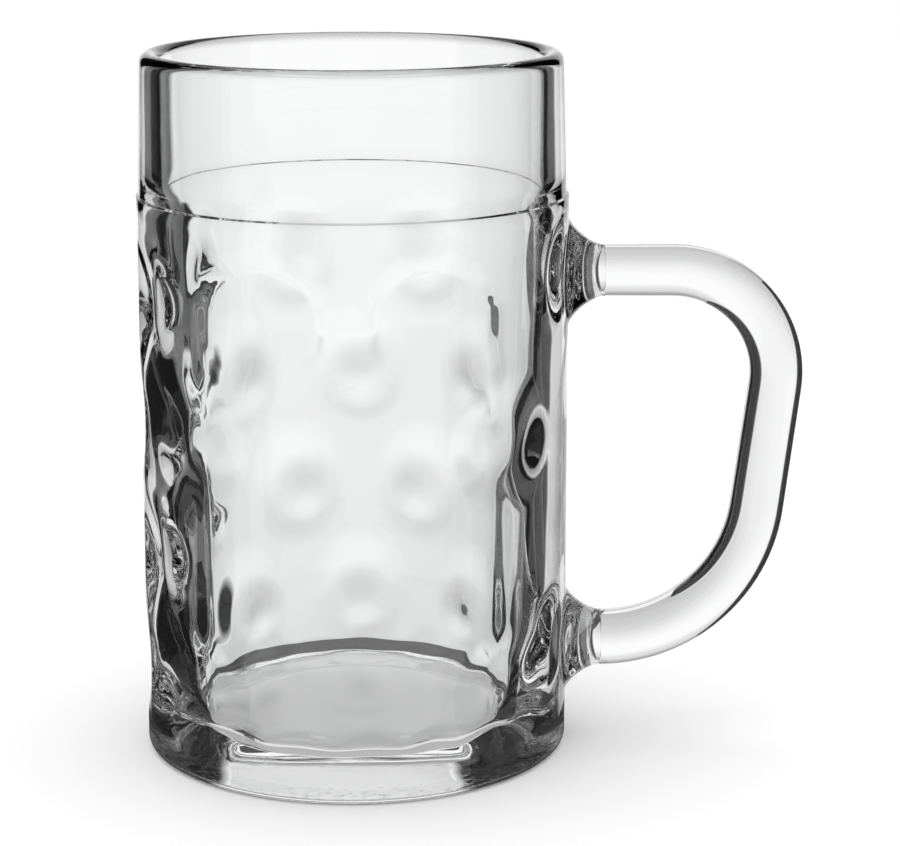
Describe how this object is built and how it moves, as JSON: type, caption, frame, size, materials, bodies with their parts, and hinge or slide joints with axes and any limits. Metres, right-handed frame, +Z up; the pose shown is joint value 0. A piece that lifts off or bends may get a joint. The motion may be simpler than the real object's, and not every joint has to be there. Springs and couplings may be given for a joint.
{
  "type": "dimpled glass beer mug",
  "caption": "Tall clear glass beer mug with staggered rows of dimples, a plain arched panel, a smooth rim band and a bow handle welded to two lugs.",
  "frame": {"origin": "on the mug's axis, in the plane of the foot ring that stands on the table", "axes": "+Z up along the mug's axis, +X towards the handle, -Y through the middle of the plain panel"},
  "size_m": [0.1742, 0.1124, 0.185],
  "materials": {
    "clear_glass": "fire-polished clear soda-lime glass",
    "handle_glass": "fire-polished clear soda-lime glass"
  },
  "bodies": {
    "root": {"body": "clear_glass", "handle": "handle_glass"}
  },
  "joints": []
}
